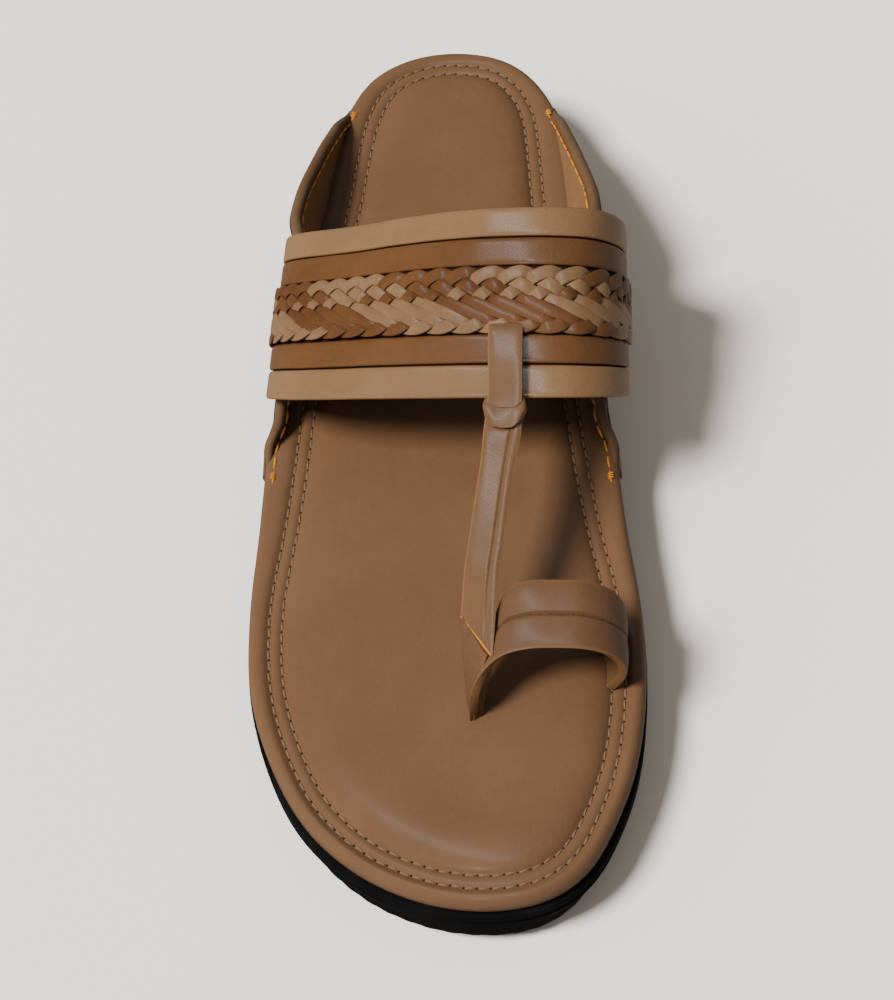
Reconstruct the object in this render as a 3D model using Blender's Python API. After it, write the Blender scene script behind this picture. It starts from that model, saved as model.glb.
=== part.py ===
"""Kolhapuri sandal for the right foot, standing empty on its sole.

Toe towards -Y, heel towards +Y, big toe side towards +X, floor at Z = 0.
All sizes are in metres.
"""
import math

import bpy
import bmesh
from mathutils import Vector

# Sole
SOLE_LENGTH = 0.2732
BALL_WIDTH = 0.1042
HEEL_THICKNESS = 0.0225
FOREFOOT_THICKNESS = 0.0140
TOE_RISE = 0.0015
TOE_SPRING = 0.0036
ARCH_LIFT = 0.0070
EDGE_ROUND = 0.0018
SIDE_DRAFT = 0.0030
SIDE_GROOVE_DEPTH = 0.0007
SIDE_GROOVE_WIDTH = 0.0010
SIDE_GROOVE_DROP = 0.0026

# Footbed
BOARD_THICKNESS = 0.0055
PAD_RISE = 0.0015
VALLEY_DEPTH = 0.0012
RIM_WIDTH = 0.0048
RIM_SETBACK = 0.0003

# Side flaps that rise from the edge of the footbed and carry the instep band
FLAP_WALL = 0.0018
FLAP_HEIGHT = 0.0160

# Instep band: widths of its strips, rear to front
REAR_LIGHT_STRIP = 0.0085
REAR_DARK_STRIP = 0.0080
BRAID_WIDTH = 0.0178
FRONT_DARK_STRIP = 0.0078
FRONT_LIGHT_STRIP = 0.0086
BAND_WALL = 0.0020
STRIP_EDGE = 0.0008
STRIP_STEP = 0.0006
BRAID_RAISE = 0.0005
BRAID_PITCH = 0.0054
REAR_RISE = 0.0530
FRONT_RISE = 0.0388
BAND_BULGE = 0.0012

# Toe strap, its keeper and the loop for the big toe
STRAP_WIDTH = 0.0088
STRAP_WALL = 0.0018
STRAP_BOW = 0.0016
KEEPER_LENGTH = 0.0074
KEEPER_WALL = 0.0012
KEEPER_STANDOFF = 0.0012
LOOP_SPAN = 0.0398
LOOP_HEIGHT = 0.0220
LOOP_WIDTH = 0.0177
LOOP_WALL = 0.0022
SHEET_EDGE = 0.0004
SEAM_DEPTH = 0.0005
SOCKET_DEPTH = 0.0022

# Space kept between pieces that touch
GAP = 0.0003

HALF_LENGTH = SOLE_LENGTH / 2
HALF_WIDTH = BALL_WIDTH / 2

# Outline of the sole in equal steps of the angle from toe to heel.
# Columns: lateral, medial, both as shares of half the ball width.
OUTLINE = [
    (0.20, 0.20),
    (-0.12, 0.49),
    (-0.425, 0.70),
    (-0.68, 0.84),
    (-0.855, 0.945),
    (-0.97, 0.99),
    (-1.00, 0.98),
    (-0.98, 0.915),
    (-0.96, 0.86),
    (-0.915, 0.785),
    (-0.83, 0.71),
    (-0.755, 0.665),
    (-0.70, 0.625),
    (-0.62, 0.56),
    (-0.49, 0.43),
    (-0.28, 0.24),
    (-0.02, -0.02),
]

# Lines across the sole, as shares of half its length from the middle, toe negative
TOE_SPRING_START = -0.60
FOREFOOT_END = -0.28
BREAST_TOP = 0.41
BREAST_FOOT = 0.455
WAIST_START = -0.40
WAIST_END = 0.70
BALL_LINE = -0.44
FLAP_FRONT = -0.096
FLAP_REAR = 0.835
FLAP_RAMP = 0.040
FLAP_ENDS = (FLAP_FRONT + FLAP_RAMP * 0.55, FLAP_REAR - FLAP_RAMP * 0.55)
BAND_FRONT_FOOT = 0.120
BAND_REAR_FOOT = 0.466
BAND_RAMP = 0.075

# Share of the band's girth over which each end settles on to the sole's edge
BAND_SEAT = 0.12

# Forward lean of the band's two edges, as run over rise
REAR_LEAN = 0.50
FRONT_LEAN = 0.72

# Arches of the band's outer face, lateral to medial, without their feet.
# Columns: across (share of half the ball width), height (share of the rise).
REAR_ARCH = [
    (-0.845, 0.145),
    (-0.880, 0.300),
    (-0.855, 0.457),
    (-0.735, 0.550),
    (-0.480, 0.665),
    (-0.210, 0.825),
    (0.045, 0.940),
    (0.270, 0.990),
    (0.535, 1.000),
    (0.735, 0.947),
    (0.855, 0.815),
    (0.915, 0.617),
    (0.916, 0.410),
    (0.850, 0.200),
]
FRONT_ARCH = [
    (-0.942, 0.200),
    (-0.947, 0.405),
    (-0.906, 0.625),
    (-0.782, 0.790),
    (-0.573, 0.880),
    (-0.286, 0.930),
    (0.000, 0.965),
    (0.267, 0.985),
    (0.496, 1.000),
    (0.687, 0.955),
    (0.830, 0.830),
    (0.912, 0.640),
    (0.931, 0.420),
    (0.887, 0.200),
]

# Profile of the footbed from its lower edge to its pad.
# Columns: inset (share of the rim's width), then shares of the board's thickness, of the
# valley's depth and of the pad's rise.
FOOTBED_ROWS = [
    (0.25, 0.00, 0.0, 0.0),
    (0.00, 0.22, 0.0, 0.0),
    (0.00, 0.64, 0.0, 0.0),
    (0.21, 0.91, 0.0, 0.0),
    (0.54, 1.00, 0.0, 0.0),
    (1.00, 1.00, 1.0, 0.0),
    (1.92, 1.00, 1.0, 0.0),
    (2.60, 1.00, 0.0, 0.6),
    (3.75, 1.00, 0.0, 1.0),
]

# Rows of the braid behind its front loops.
# Columns: width (share of the rows' depth), shear at the row's front in pitches.
BRAID_ROWS = [
    (0.22, 0.40),
    (0.23, -0.10),
    (0.20, 0.40),
    (0.35, 2.60),
]
LOOP_SHEAR = 2.30

# Side flaps in equal steps from the front end to the rear end.
# Columns: height (share), then outward lean above the board, medial and lateral (run over rise).
FLAP_ROWS = [
    (0.00, 0.00, -0.10),
    (0.36, 0.04, -0.22),
    (0.74, 0.14, -0.16),
    (0.95, 0.27, 0.03),
    (1.00, 0.40, 0.14),
    (1.00, 0.47, 0.22),
    (0.74, 0.44, 0.19),
    (0.38, 0.30, 0.10),
    (0.00, 0.00, 0.00),
]

# The strap meets the band at this share of half the ball width
STRAP_ACROSS = 0.303

# Foot of the toe post: shares of half the width and of half the length
POST_ACROSS = 0.130
POST_ALONG = -0.618

# Big toe loop from the post over to the medial side.
# Columns: across (share of span), along (share of width, from the post's foot),
# height (share), then shares of the width: breadth, tilt (rear edge higher), twist (rear edge
# more medial).
LOOP_ROWS = [
    (0.018, 0.14, 0.16, 0.40, 0.00, 0.20),
    (0.053, 0.36, 0.48, 0.62, 0.00, 0.24),
    (0.113, 0.65, 0.75, 0.85, 0.08, 0.18),
    (0.211, 0.87, 0.93, 0.98, 0.15, 0.07),
    (0.354, 0.955, 0.995, 1.00, 0.18, 0.00),
    (0.530, 0.97, 1.00, 1.00, 0.18, 0.00),
    (0.719, 0.97, 0.97, 1.00, 0.18, 0.00),
    (0.869, 0.97, 0.83, 1.00, 0.15, 0.00),
    (0.965, 0.97, 0.59, 1.00, 0.08, 0.00),
    (0.992, 0.97, 0.32, 1.00, 0.03, 0.00),
    (0.962, 0.97, 0.09, 1.00, 0.00, 0.00),
]

# The loop's two ends in their sockets. Columns: across, along, breadth, twist.
LOOP_START = (0.010, 0.02, 0.31, 0.16)
LOOP_END = (0.907, 0.97, 1.00, 0.00)

# Lateral sheet of the toe post, top to bottom, its rear and its front edge.
# Columns: rear across, rear along, rear height, front across, front along, front height,
# as shares of the loop's span, width and height from the post's foot.
POST_ROWS = [
    (-0.062, 1.08, 0.83, 0.103, 0.39, 0.855),
    (-0.058, 0.76, 0.57, 0.048, 0.18, 0.57),
    (-0.047, 0.42, 0.28, 0.016, 0.02, 0.26),
]
POST_FOOT = (-0.025, 0.14, 0.018, -0.13)


def smooth(value, start, end):
    """0 before start, 1 after end, eased between them."""
    share = min(1.0, max(0.0, (value - start) / (end - start)))
    return share * share * (3 - 2 * share)


def catmull(p0, p1, p2, p3, t):
    return 0.5 * (2 * p1 + (p2 - p0) * t + (2 * p0 - 5 * p1 + 4 * p2 - p3) * t * t
                  + (3 * p1 - p0 - 3 * p2 + p3) * t ** 3)


def along_rows(rows, place):
    """The rows' values at a place from 0 to 1, on a smooth curve through them."""
    step = min(max(place, 0.0), 1.0) * (len(rows) - 1)
    index = min(int(step), len(rows) - 2)
    picks = [rows[min(max(index + k, 0), len(rows) - 1)] for k in (-1, 0, 1, 2)]
    return [catmull(*values, step - index) for values in zip(*picks)]


LOOP_OF_OUTLINE = [row[0] for row in OUTLINE] + [row[1] for row in OUTLINE[-2:0:-1]]


def rim_raw(turn):
    """A point of the sole's outline: turn 0 at the toe, 1 at the heel, 2 back at the toe."""
    count = len(LOOP_OF_OUTLINE)
    step = (turn % 2.0) / 2.0 * count
    index = int(step)
    picks = [LOOP_OF_OUTLINE[(index + k) % count] for k in (-1, 0, 1, 2)]
    return Vector((HALF_WIDTH * catmull(*picks, step - index),
                   -HALF_LENGTH * math.cos(math.pi * turn), 0.0))


def rim(turn, inset=0.0):
    """The outline moved inwards by an inset along its own normal."""
    slope = rim_raw(turn + 0.004) - rim_raw(turn - 0.004)
    inward = Vector((slope.y, -slope.x, 0.0)).normalized()
    return rim_raw(turn) + inward * inset


def turn_at(share):
    """Turn on the lateral side at a share of half the length from the middle."""
    return math.acos(-max(-1.0, min(1.0, share))) / math.pi


def half_share(y):
    return y / HALF_LENGTH


def sole_top(y):
    share = half_share(y)
    waist = smooth(share, WAIST_START, WAIST_END)
    toe = max(0.0, (BALL_LINE - share) / (1 + BALL_LINE))
    return (FOREFOOT_THICKNESS + (HEEL_THICKNESS - FOREFOOT_THICKNESS) * waist
            + TOE_RISE * toe * toe)


def sole_bottom(y):
    share = half_share(y)
    if share < TOE_SPRING_START:
        return TOE_SPRING * ((TOE_SPRING_START - share) / (1 + TOE_SPRING_START)) ** 2
    if FOREFOOT_END < share <= BREAST_TOP:
        return ARCH_LIFT * (share - FOREFOOT_END) / (BREAST_TOP - FOREFOOT_END)
    if BREAST_TOP < share < BREAST_FOOT:
        return ARCH_LIFT * (BREAST_FOOT - share) / (BREAST_FOOT - BREAST_TOP)
    return 0.0


def window(share, start, end, ramp):
    return smooth(share, start, start + ramp) * (1 - smooth(share, end - ramp, end))


def band_room(y):
    """How far the side flaps and the footbed stand back for the band's feet."""
    front = BAND_FRONT_FOOT - FRONT_LEAN * BOARD_THICKNESS * 1.6 / HALF_LENGTH
    inside = window(half_share(y), front - BAND_RAMP, BAND_REAR_FOOT + BAND_RAMP, BAND_RAMP)
    return (BAND_WALL + GAP) * inside


def flap_room(y):
    inside = window(half_share(y), FLAP_FRONT, FLAP_REAR, FLAP_RAMP)
    return (FLAP_WALL + GAP) * inside


def footbed_base(y):
    return sole_top(y) + GAP


def pad_top(y):
    return footbed_base(y) + BOARD_THICKNESS + PAD_RISE


def new_object(name, colour, roughness, vertices, faces, angle=35.0):
    mesh = bpy.data.meshes.new(name)
    mesh.from_pydata([tuple(v) for v in vertices], [], faces)
    shell = bmesh.new()
    shell.from_mesh(mesh)
    bmesh.ops.recalc_face_normals(shell, faces=shell.faces)
    shell.to_mesh(mesh)
    shell.free()
    mesh.shade_smooth()
    mesh.set_sharp_from_angle(angle=math.radians(angle))
    material = bpy.data.materials.new(name + "_finish")
    material.use_nodes = True
    shader = material.node_tree.nodes["Principled BSDF"]
    shader.inputs["Base Color"].default_value = (*colour, 1.0)
    shader.inputs["Roughness"].default_value = roughness
    shader.inputs["Metallic"].default_value = 0.0
    mesh.materials.append(material)
    piece = bpy.data.objects.new(name, mesh)
    bpy.context.scene.collection.objects.link(piece)
    return piece


def stack_rings(rings):
    """Closed solid through rings that pair across the foot: toe first, heel half way."""
    count = len(rings[0])
    half = count // 2
    vertices = [point for ring in rings for point in ring]
    faces = []
    for level in range(len(rings) - 1):
        low = level * count
        high = low + count
        for k in range(count):
            n = (k + 1) % count
            faces.append((low + k, low + n, high + n, high + k))
    for base in (0, (len(rings) - 1) * count):
        for k in range(half):
            corners = [base + k, base + k + 1, base + (count - k - 1) % count,
                       base + (count - k) % count]
            faces.append(tuple(dict.fromkeys(corners)))
    return vertices, faces


def sole_turns():
    """Turns around the outline, with one wherever a line crosses the sole."""
    lines = [TOE_SPRING_START, FOREFOOT_END, BREAST_TOP, BREAST_FOOT, FLAP_FRONT, FLAP_REAR,
             *FLAP_ENDS, FLAP_FRONT + FLAP_RAMP, FLAP_REAR - FLAP_RAMP]
    fixed = [turn_at(line) for line in lines]
    steps = 30
    even = [k / steps for k in range(steps + 1)]
    near = 0.4 / steps
    half = sorted(fixed + [turn for turn in even if all(abs(turn - f) > near for f in fixed)])
    return half + [2 - turn for turn in half[-2:0:-1]]


def build_outsole():
    """Black rubber sole: flat heel and forefoot, lifted arch, toe spring, a groove in its side."""
    top_drop = SIDE_GROOVE_DROP
    slant = SIDE_GROOVE_DEPTH / 2
    levels = [
        ("bottom", EDGE_ROUND, 0.0),
        ("bottom", 0.0, EDGE_ROUND),
        ("top", 0.0, -top_drop - SIDE_GROOVE_WIDTH - slant),
        ("top", SIDE_GROOVE_DEPTH, -top_drop - SIDE_GROOVE_WIDTH),
        ("top", SIDE_GROOVE_DEPTH, -top_drop),
        ("top", 0.0, -top_drop + slant),
        ("top", 0.0, 0.0),
    ]
    rings = []
    for side, inset, offset in levels:
        ring = []
        for turn in sole_turns():
            point = rim(turn, inset)
            y = rim_raw(turn).y
            point.z = (sole_bottom(y) if side == "bottom" else sole_top(y)) + offset
            if side == "bottom":
                point.x += (rim(turn, SIDE_DRAFT) - rim_raw(turn)).x
            ring.append(point)
        rings.append(ring)
    vertices, faces = stack_rings(rings)
    return new_object("outsole", (0.012, 0.013, 0.014), 0.62, vertices, faces, 40)


def build_footbed():
    """Wrapped insole board: rolled rim, sewn valley, padded middle."""
    rings = []
    for inset, board, valley, pad in FOOTBED_ROWS:
        height = BOARD_THICKNESS * board - VALLEY_DEPTH * valley + PAD_RISE * pad
        ring = []
        for turn in sole_turns():
            y = rim_raw(turn).y
            setback = RIM_SETBACK + band_room(y) + flap_room(y)
            point = rim(turn, setback + RIM_WIDTH * inset)
            point.z = footbed_base(y) + height
            ring.append(point)
        rings.append(ring)
    vertices, faces = stack_rings(rings)
    return new_object("footbed", (0.225, 0.125, 0.068), 0.45, vertices, faces)


def build_flap(name, medial):
    """Side flap: a leather wall from the sole's edge up to the band, rolled along its top."""
    start, end = FLAP_ENDS
    stations = [turn for turn in sole_turns() if turn_at(start) <= turn <= turn_at(end)]
    sections = []
    for turn in stations:
        place = (half_share(rim_raw(turn).y) - start) / (end - start)
        turn = 2 - turn if medial else turn
        y = rim_raw(turn).y
        height, lean_medial, lean_lateral = along_rows(FLAP_ROWS, place)
        lean = (lean_medial if medial else lean_lateral) * (1 if medial else -1)
        low = footbed_base(y)
        tall = BOARD_THICKNESS + FLAP_HEIGHT * height
        outer = RIM_SETBACK + band_room(y)
        inner = outer + flap_room(y) - GAP
        middle = (outer + inner) / 2
        roll = FLAP_WALL * 0.4
        knee = min(BOARD_THICKNESS, tall / 2)
        section = []
        for inset, rise in ((inner, 0.0), (outer, 0.0), (outer, knee), (outer, tall - roll),
                            (middle, tall), (inner, tall - roll), (inner, knee)):
            point = rim(turn, inset)
            point.x += lean * max(0.0, rise - BOARD_THICKNESS)
            point.z = low + rise
            section.append(point)
        sections.append(section)
    count = len(sections[0])
    steps = len(sections) - 1
    vertices = [point for section in sections for point in section]
    faces = [(s * count + k, s * count + (k + 1) % count,
              (s + 1) * count + (k + 1) % count, (s + 1) * count + k)
             for s in range(steps) for k in range(count)]
    faces.append(tuple(range(count)))
    faces.append(tuple(steps * count + k for k in range(count)))
    return new_object(name, (0.215, 0.118, 0.064), 0.45, vertices, faces)


def arch_curve(rows, rise, foot_share, lean):
    """Function from 0 to 1 along an arch of the band, foot to foot by its length."""
    foot_y = foot_share * HALF_LENGTH
    foot_z = footbed_base(foot_y)
    turn = turn_at(foot_share)
    feet = [rim(side, RIM_SETBACK).x for side in (turn, 2 - turn)]
    knots = [(feet[0], foot_z)]
    knots += [(HALF_WIDTH * across, foot_z + rise * height) for across, height in rows]
    knots += [(feet[1], foot_z)]
    samples = []
    fine = 240
    for k in range(fine + 1):
        x, z = along_rows(knots, k / fine)
        samples.append(Vector((x, foot_y - lean * (z - foot_z), z)))
    lengths = [0.0]
    for a, b in zip(samples, samples[1:]):
        lengths.append(lengths[-1] + (b - a).length)

    def place(share):
        goal = min(max(share, 0.0), 1.0) * lengths[-1]
        k = next((n for n in range(1, fine + 1) if lengths[n] >= goal), fine)
        part = (goal - lengths[k - 1]) / (lengths[k] - lengths[k - 1])
        return samples[k - 1].lerp(samples[k], part)

    return place, lengths[-1]


REAR_EDGE, REAR_GIRTH = arch_curve(REAR_ARCH, REAR_RISE, BAND_REAR_FOOT, REAR_LEAN)
FRONT_EDGE, FRONT_GIRTH = arch_curve(FRONT_ARCH, FRONT_RISE, BAND_FRONT_FOOT, FRONT_LEAN)
BAND_DEPTH = (REAR_LIGHT_STRIP + REAR_DARK_STRIP + BRAID_WIDTH + FRONT_DARK_STRIP
              + FRONT_LIGHT_STRIP)


def band_point(u, v):
    """Outer face of the band: u lateral to medial, v rear to front, both 0 to 1."""
    point = REAR_EDGE(u).lerp(FRONT_EDGE(u), v)
    point.z += BAND_BULGE * 4 * v * (1 - v) * math.sin(math.pi * u) ** 2
    side = 0.0 if u < 0.5 else 1.0
    foot = REAR_EDGE(side).lerp(FRONT_EDGE(side), v)
    turn = turn_at(half_share(foot.y))
    seat = rim(2 - turn if side else turn, RIM_SETBACK)
    seat.y = foot.y
    seat.z = footbed_base(foot.y)
    return point + (seat - foot) * (1 - smooth(abs(u - side), 0.0, BAND_SEAT))


def band_frame(u, v):
    """Point, direction across, direction to the front and outward normal of the band."""
    step = 0.01
    across = band_point(min(1.0, u + step), v) - band_point(max(0.0, u - step), v)
    front = band_point(u, min(1.0, v + step)) - band_point(u, max(0.0, v - step))
    across.normalize()
    normal = front.cross(across).normalized()
    return band_point(u, v), across, across.cross(normal).normalized(), normal


def find_u(across_share, v):
    """The place along the band where it lies over a given line of the foot."""
    low, high = 0.15, 0.85
    for _ in range(30):
        middle = (low + high) / 2
        if band_point(middle, v).x < across_share * HALF_WIDTH:
            low = middle
        else:
            high = middle
    return (low + high) / 2


def strap_frame(v):
    """The band's frame under the middle of the toe strap."""
    return band_frame(find_u(STRAP_ACROSS, v), v)


FOLD_RADIUS = (BAND_WALL + STRAP_WALL) / 2 + GAP
SLIT_WIDTH = FOLD_RADIUS + STRAP_WALL / 2 + GAP
SLIT_FRONT_V = 1 - (FRONT_DARK_STRIP + FRONT_LIGHT_STRIP) / BAND_DEPTH
SLIT_U = find_u(STRAP_ACROSS, SLIT_FRONT_V - SLIT_WIDTH / BAND_DEPTH / 2)


def band_rows():
    """Lines along the band, rear to front: place, relief, shear in pitches, kind of row behind."""
    rows = []
    place = 0.0
    for width in (REAR_LIGHT_STRIP, REAR_DARK_STRIP):
        rows.append((place, -STRIP_STEP, 0.0, "strip"))
        rows.append((place + STRIP_EDGE, 0.0, 0.0, "strip"))
        rows.append((place + width - STRIP_EDGE, 0.0, 0.0, "strip"))
        place += width
    rows.append((place, -STRIP_STEP, 0.0, "strip"))
    depth = BRAID_WIDTH - SLIT_WIDTH
    for width, shear in BRAID_ROWS:
        place += width * depth
        rows.append((place, -STRIP_STEP, shear, "braid"))
    place += SLIT_WIDTH
    rows.append((place, -STRIP_STEP, LOOP_SHEAR, "loops"))
    for width in (FRONT_DARK_STRIP, FRONT_LIGHT_STRIP):
        rows.append((place + STRIP_EDGE, 0.0, LOOP_SHEAR, "strip"))
        rows.append((place + width - STRIP_EDGE, 0.0, LOOP_SHEAR, "strip"))
        place += width
        rows.append((place, -STRIP_STEP, LOOP_SHEAR, "strip"))
    return rows


def build_band():
    """Instep band: one wall with four plain strips as steps, a raised braid and the strap's slit."""
    rows = band_rows()
    columns = round((REAR_GIRTH + FRONT_GIRTH) / 2 / BRAID_PITCH)
    half_slit = (STRAP_WIDTH / 2 + GAP) / FRONT_GIRTH

    def column_u(k, row):
        u = k / columns
        taper = smooth(u, 0.0, 0.25) * (1 - smooth(u, 0.75, 1.0))
        return u + row[2] / columns * taper

    last = max(n for n, row in enumerate(rows) if row[3] == "loops")
    middle = min(range(columns + 1), key=lambda k: abs(column_u(k, rows[last]) - SLIT_U))
    snapped = {middle - 1: SLIT_U - half_slit, middle: SLIT_U, middle + 1: SLIT_U + half_slit}
    slit = {(middle - 1, last), (middle, last)}
    vertices = []
    faces = []
    outer = {}
    inner = {}
    places = {}
    for n, row in enumerate(rows):
        for k in range(columns + 1):
            u = snapped.get(k) if n in (last, last - 1) and k in snapped else column_u(k, row)
            v = row[0] / BAND_DEPTH
            point, _, _, normal = band_frame(u, v)
            places[k, n] = (u, v)
            outer[k, n] = len(vertices)
            vertices.append(point + normal * row[1])
            inner[k, n] = len(vertices)
            vertices.append(point - normal * BAND_WALL)
    cells = {(k, n) for k in range(columns) for n in range(1, len(rows)) if (k, n) not in slit}

    def raise_cell(ring, corners):
        """A strand's visible piece: a smaller quad raised over its cell."""
        raised = []
        for a, b in ((0.17, 0.17), (0.83, 0.17), (0.83, 0.83), (0.17, 0.83)):
            weights = ((1 - a) * (1 - b), a * (1 - b), a * b, (1 - a) * b)
            u = sum(w * c[0] for w, c in zip(weights, corners))
            v = sum(w * c[1] for w, c in zip(weights, corners))
            point, _, _, normal = band_frame(u, v)
            raised.append(len(vertices))
            vertices.append(point + normal * BRAID_RAISE)
        for k in range(4):
            faces.append((ring[k], ring[(k + 1) % 4], raised[(k + 1) % 4], raised[k]))
        faces.append(tuple(raised))

    for k, n in cells:
        keys = ((k, n - 1), (k + 1, n - 1), (k + 1, n), (k, n))
        if rows[n][3] == "strip":
            faces.append(tuple(outer[key] for key in keys))
        else:
            raise_cell([outer[key] for key in keys], [places[key] for key in keys])
        faces.append(tuple(inner[key] for key in reversed(keys)))
        for side, (dk, dn) in enumerate(((0, -1), (1, 0), (0, 1), (-1, 0))):
            if (k + dk, n + dn) not in cells:
                a, b = keys[side], keys[(side + 1) % 4]
                faces.append((outer[b], outer[a], inner[a], inner[b]))
    return new_object("instep_band", (0.275, 0.140, 0.062), 0.42, vertices, faces)


def leather_sheet(name, rows, wall, lanes, colour, upright=()):
    """A strip of leather through pairs of edge points; lanes give the relief across it.

    The rows named as upright end level, as where a strip stands in its socket.
    """
    vertices = []
    count = len(lanes) * 2
    for n, (left, right) in enumerate(rows):
        before = rows[max(n - 1, 0)]
        after = rows[min(n + 1, len(rows) - 1)]
        forward = (after[0] + after[1]) - (before[0] + before[1])
        normal = forward.cross(left - right)
        if n in upright:
            normal.z = 0.0
        normal.normalize()
        for share, relief in lanes:
            vertices.append(left.lerp(right, share) + normal * relief)
        for share, _ in reversed(lanes):
            vertices.append(left.lerp(right, share) - normal * wall)
    faces = [(n * count + k, n * count + (k + 1) % count,
              (n + 1) * count + (k + 1) % count, (n + 1) * count + k)
             for n in range(len(rows) - 1) for k in range(count)]
    faces.append(tuple(range(count)))
    faces.append(tuple((len(rows) - 1) * count + k for k in range(count)))
    return new_object(name, colour, 0.42, vertices, faces)


def post_foot():
    x = POST_ACROSS * HALF_WIDTH
    y = POST_ALONG * HALF_LENGTH
    return Vector((x, y, pad_top(y)))


def loop_edges():
    """Rear and front edge of the big toe loop, post to medial side."""
    foot = post_foot()
    depth = -SOCKET_DEPTH / LOOP_HEIGHT
    ends = [(across, along, depth, breadth, 0.0, twist)
            for across, along, breadth, twist in (LOOP_START, LOOP_END)]
    edges = []
    for across, along, height, breadth, tilt, twist in (ends[0], *LOOP_ROWS, ends[1]):
        centre = foot + Vector((across * LOOP_SPAN, along * LOOP_WIDTH, height * LOOP_HEIGHT))
        half = Vector((twist, breadth, tilt)) * LOOP_WIDTH / 2
        edges.append((centre + half, centre - half))
    return edges


def post_edges():
    foot = post_foot()
    edges = []
    for rear_x, rear_y, rear_z, front_x, front_y, front_z in POST_ROWS:
        rear = Vector((rear_x * LOOP_SPAN, rear_y * LOOP_WIDTH, rear_z * LOOP_HEIGHT))
        front = Vector((front_x * LOOP_SPAN, front_y * LOOP_WIDTH, front_z * LOOP_HEIGHT))
        edges.append((foot + front, foot + rear))
    rear_x, rear_y, front_x, front_y = POST_FOOT
    edges.append((foot + Vector((front_x * LOOP_SPAN, front_y * LOOP_WIDTH, -SOCKET_DEPTH)),
                  foot + Vector((rear_x * LOOP_SPAN, rear_y * LOOP_WIDTH, -SOCKET_DEPTH))))
    return edges


def post_sheet_edges():
    """The post's sheet, its top edge tucked under the fold of the strap."""
    edges = post_edges()
    tuck = Vector((STRAP_WALL * 0.35, STRAP_WALL * 0.5, -STRAP_WALL * 0.3))
    front, rear = edges[0]
    inner = (front.lerp(rear, 0.08) + tuck, rear.lerp(front, 0.08) + tuck)
    aside = Vector((tuck.x, tuck.y, 0.0)) * 0.4
    return [inner] + [(a + aside, b + aside) for a, b in edges[1:]]


def strap_run():
    """The straight run of the strap in front of the band: start, forward, across, normal."""
    point, across, front, normal = strap_frame(1.0)
    start = point + normal * (GAP + STRAP_WALL)
    aim = (post_foot() + Vector((0.0, LOOP_WIDTH, LOOP_HEIGHT)) - start).normalized()
    forward = (aim + front).normalized()
    across = (across - forward * across.dot(forward)).normalized()
    return start, forward, across, forward.cross(across).normalized()


def strap_edges():
    """Upper face of the toe strap from the post, over the front strips and back under them."""
    top_front, top_rear = post_edges()[0]
    start, forward, across, normal = strap_run()
    run = KEEPER_LENGTH + 2 * KEEPER_STANDOFF
    lower = start + forward * run
    half = STRAP_WIDTH / 2
    joint = (top_rear + top_front) / 2
    edges = [(top_rear, top_front + Vector((half * 0.35, 0.0, 0.0)))]
    steps = 6
    for k in range(1, steps + 1):
        share = (k / steps) * 0.86 + 0.14
        centre = joint.lerp(lower, share)
        centre.z += STRAP_BOW * math.sin(math.pi * share)
        edges.append((centre - across * half, centre + across * half))
    edges.append((start + forward * run * 0.5 - across * half,
                  start + forward * run * 0.5 + across * half))
    steps = 3
    for k in range(steps + 1):
        v = 1 - (1 - SLIT_FRONT_V) * k / steps
        point, side, _, outward = strap_frame(v)
        centre = point + outward * (GAP + STRAP_WALL)
        edges.append((centre - side * half, centre + side * half))
    point, side, front, outward = strap_frame(SLIT_FRONT_V)
    middle = point - outward * BAND_WALL / 2
    reach = FOLD_RADIUS + STRAP_WALL / 2
    steps = 6
    for k in range(1, steps + 1):
        angle = math.pi * k / steps
        centre = middle + outward * reach * math.cos(angle) - front * reach * math.sin(angle)
        edges.append((centre - side * half, centre + side * half))
    for k in (1, 2):
        v = SLIT_FRONT_V + (1 - SLIT_FRONT_V) * 0.47 * k
        point, side, _, outward = strap_frame(v)
        centre = point - outward * (BAND_WALL + GAP + STRAP_WALL)
        edges.append((centre - side * half, centre + side * half))
    return edges


def join_piece(target, other, operation):
    """Join or cut with another solid, which itself isn't built as a piece."""
    other.hide_render = True
    other.display_type = "WIRE"
    modifier = target.modifiers.new(operation.lower() + "_" + other.name, "BOOLEAN")
    modifier.operation = operation
    modifier.solver = "EXACT"
    modifier.object = other


def build_toe_strap():
    """T strap, toe post and big toe loop, joined where they cross."""
    colour = (0.235, 0.155, 0.105)
    plain = [(0.0, -SHEET_EDGE), (0.08, 0.0), (0.92, 0.0), (1.0, -SHEET_EDGE)]
    seamed = [(0.0, -SHEET_EDGE), (0.06, 0.0), (0.46, 0.0), (0.50, -SEAM_DEPTH), (0.54, 0.0),
              (0.94, 0.0), (1.0, -SHEET_EDGE)]
    strap = leather_sheet("toe_strap", strap_edges(), STRAP_WALL, plain, colour)
    edges = loop_edges()
    loop = leather_sheet("loop_form", edges, LOOP_WALL, seamed, colour, (0, len(edges) - 1))
    edges = post_sheet_edges()
    post = leather_sheet("post_form", edges, STRAP_WALL, plain, colour, (len(edges) - 1,))
    join_piece(strap, loop, "UNION")
    join_piece(strap, post, "UNION")
    return strap


def socket_cutter(name, centre, size):
    """A box that leaves a pocket in the footbed for the end of a strap."""
    bpy.ops.mesh.primitive_cube_add(size=1.0, location=centre)
    cutter = bpy.context.object
    cutter.name = name
    cutter.dimensions = size
    bpy.ops.object.transform_apply(location=False, rotation=False, scale=True)
    return cutter


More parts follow.
